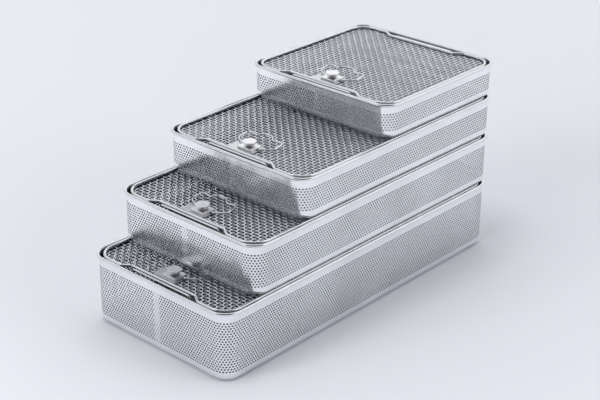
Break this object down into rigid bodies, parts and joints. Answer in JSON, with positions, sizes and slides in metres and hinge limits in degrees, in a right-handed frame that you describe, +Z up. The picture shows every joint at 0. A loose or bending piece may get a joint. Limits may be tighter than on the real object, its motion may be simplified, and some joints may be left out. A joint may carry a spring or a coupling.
{
  "type": "sterilization basket set",
  "caption": "Stack of perforated steel sterilization baskets of falling length and height, each with a lift-off woven wire lid, a turning lock and a fold-down handle.",
  "frame": {"origin": "on the surface that the stack stands on, under the middle of the longest basket", "axes": "+X along the baskets towards the flush end, away from the locks; +Y across; +Z up"},
  "size_m": [0.5376, 0.2496, 0.2851],
  "materials": {
    "perforated_sheet": "electropolished perforated stainless steel sheet",
    "polished_rod": "polished stainless steel rod",
    "woven_wire": "woven stainless steel wire",
    "lock_steel": "bright polished stainless steel"
  },
  "bodies": {
    "basket_1": {"basket_1_wall": "perforated_sheet", "basket_1_foot_ring": "perforated_sheet", "basket_1_rim_rod": "polished_rod", "basket_1_floor": "perforated_sheet", "basket_1_latch_bars": "polished_rod", "basket_1_lid_rests": "perforated_sheet"},
    "lid_1": {"lid_1_frame": "polished_rod", "lid_1_mesh": "woven_wire", "lid_1_lock_plate": "lock_steel", "lid_1_lock_boss": "lock_steel", "lid_1_backing_plate": "lock_steel"},
    "knob_1": {"lid_1_knob": "lock_steel", "lid_1_spindle": "lock_steel", "lid_1_tongue": "lock_steel"},
    "handle_1": {"lid_1_handle": "polished_rod"},
    "basket_2": {"basket_2_wall": "perforated_sheet", "basket_2_foot_ring": "perforated_sheet", "basket_2_rim_rod": "polished_rod", "basket_2_floor": "perforated_sheet", "basket_2_latch_bars": "polished_rod", "basket_2_lid_rests": "perforated_sheet"},
    "lid_2": {"lid_2_frame": "polished_rod", "lid_2_mesh": "woven_wire", "lid_2_lock_plate": "lock_steel", "lid_2_lock_boss": "lock_steel", "lid_2_backing_plate": "lock_steel"},
    "knob_2": {"lid_2_knob": "lock_steel", "lid_2_spindle": "lock_steel", "lid_2_tongue": "lock_steel"},
    "handle_2": {"lid_2_handle": "polished_rod"},
    "basket_3": {"basket_3_wall": "perforated_sheet", "basket_3_foot_ring": "perforated_sheet", "basket_3_rim_rod": "polished_rod", "basket_3_floor": "perforated_sheet", "basket_3_latch_bars": "polished_rod", "basket_3_lid_rests": "perforated_sheet"},
    "lid_3": {"lid_3_frame": "polished_rod", "lid_3_mesh": "woven_wire", "lid_3_lock_plate": "lock_steel", "lid_3_lock_boss": "lock_steel", "lid_3_backing_plate": "lock_steel"},
    "knob_3": {"lid_3_knob": "lock_steel", "lid_3_spindle": "lock_steel", "lid_3_tongue": "lock_steel"},
    "handle_3": {"lid_3_handle": "polished_rod"},
    "basket_4": {"basket_4_wall": "perforated_sheet", "basket_4_foot_ring": "perforated_sheet", "basket_4_rim_rod": "polished_rod", "basket_4_floor": "perforated_sheet", "basket_4_latch_bars": "polished_rod", "basket_4_lid_rests": "perforated_sheet"},
    "lid_4": {"lid_4_frame": "polished_rod", "lid_4_mesh": "woven_wire", "lid_4_lock_plate": "lock_steel", "lid_4_lock_boss": "lock_steel", "lid_4_backing_plate": "lock_steel"},
    "knob_4": {"lid_4_knob": "lock_steel", "lid_4_spindle": "lock_steel", "lid_4_tongue": "lock_steel"},
    "handle_4": {"lid_4_handle": "polished_rod"}
  },
  "joints": [
    {"name": "lift_lid_1", "type": "slide", "parent": "basket_1", "child": "lid_1", "axis": [0, 0, 1], "range_m": [0, 0.108]},
    {"name": "turn_knob_1", "type": "hinge", "parent": "lid_1", "child": "knob_1", "pos_m": [-0.234, 0, 0.097], "axis": [0, 0, 1], "range_deg": [0, 90]},
    {"name": "swing_handle_1", "type": "hinge", "parent": "lid_1", "child": "handle_1", "pos_m": [-0.231, 0, 0.0958], "axis": [0, -1, 0], "range_deg": [0, 95]},
    {"name": "lift_basket_2", "type": "slide", "parent": "lid_1", "child": "basket_2", "axis": [0, 0, 1], "range_m": [0, 0.09]},
    {"name": "lift_lid_2", "type": "slide", "parent": "basket_2", "child": "lid_2", "axis": [0, 0, 1], "range_m": [0, 0.083]},
    {"name": "turn_knob_2", "type": "hinge", "parent": "lid_2", "child": "knob_2", "pos_m": [-0.183, 0, 0.1693], "axis": [0, 0, 1], "range_deg": [0, 90]},
    {"name": "swing_handle_2", "type": "hinge", "parent": "lid_2", "child": "handle_2", "pos_m": [-0.18, 0, 0.1681], "axis": [0, -1, 0], "range_deg": [-7, 87]},
    {"name": "lift_basket_3", "type": "slide", "parent": "lid_2", "child": "basket_3", "axis": [0, 0, 1], "range_m": [0, 0.09]},
    {"name": "lift_lid_3", "type": "slide", "parent": "basket_3", "child": "lid_3", "axis": [0, 0, 1], "range_m": [0, 0.0695]},
    {"name": "turn_knob_3", "type": "hinge", "parent": "lid_3", "child": "knob_3", "pos_m": [-0.098, 0, 0.2281], "axis": [0, 0, 1], "range_deg": [0, 90]},
    {"name": "swing_handle_3", "type": "hinge", "parent": "lid_3", "child": "handle_3", "pos_m": [-0.095, 0, 0.2269], "axis": [0, -1, 0], "range_deg": [-7, 87]},
    {"name": "lift_basket_4", "type": "slide", "parent": "lid_3", "child": "basket_4", "axis": [0, 0, 1], "range_m": [0, 0.09]},
    {"name": "lift_lid_4", "type": "slide", "parent": "basket_4", "child": "lid_4", "axis": [0, 0, 1], "range_m": [0, 0.0605]},
    {"name": "turn_knob_4", "type": "hinge", "parent": "lid_4", "child": "knob_4", "pos_m": [0.061, 0, 0.2779], "axis": [0, 0, 1], "range_deg": [0, 90]},
    {"name": "swing_handle_4", "type": "hinge", "parent": "lid_4", "child": "handle_4", "pos_m": [0.064, 0, 0.2767], "axis": [0, -1, 0], "range_deg": [-7, 87]}
  ],
  "couplings": [
    {"joint": "swing_handle_1", "follows": "lift_basket_2", "rad_per_m": 18.42}
  ]
}
